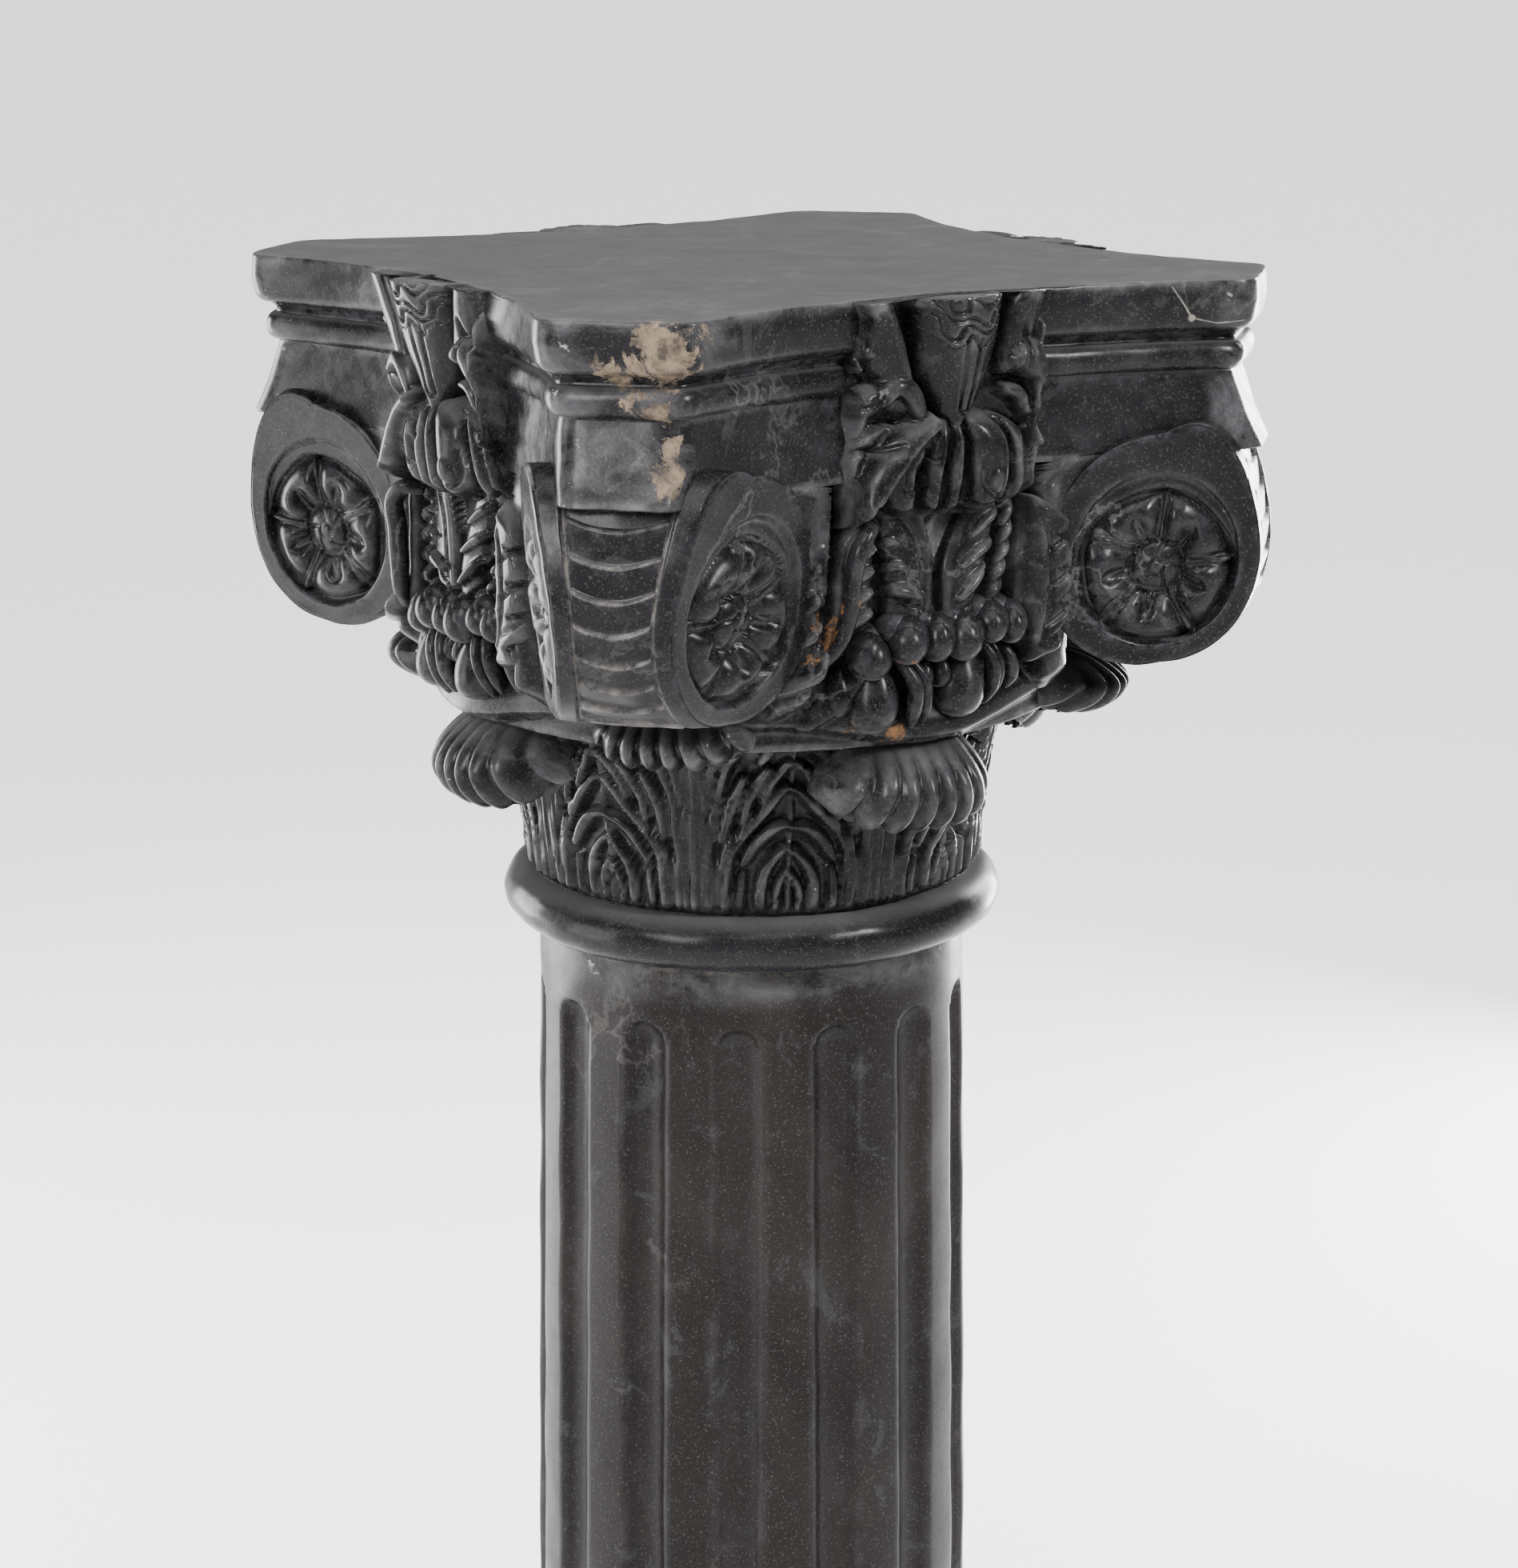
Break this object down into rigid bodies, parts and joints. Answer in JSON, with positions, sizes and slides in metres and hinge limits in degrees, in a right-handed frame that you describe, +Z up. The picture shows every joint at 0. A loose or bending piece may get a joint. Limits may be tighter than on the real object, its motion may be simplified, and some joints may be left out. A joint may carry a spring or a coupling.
{
  "type": "marble pedestal",
  "caption": "Column-shaped stone pedestal with a fluted round shaft, a carved leaf capital with corner scrolls and a flat horned top.",
  "frame": {"origin": "centre of the base's underside", "axes": "+Z up along the shaft's axis, -Y towards the front side; the four carved sides face +X, -X, +Y and -Y, and the four horns lie on the diagonals"},
  "size_m": [0.3712, 0.3712, 1.1],
  "materials": {
    "capital_marble": "near-black marble, polished",
    "shaft_marble": "near-black marble, satin, with faint grey clouds and veins",
    "base_marble": "near-black marble, polished"
  },
  "bodies": {
    "root": {"capital": "capital_marble", "shaft": "shaft_marble", "base": "base_marble"}
  },
  "joints": []
}
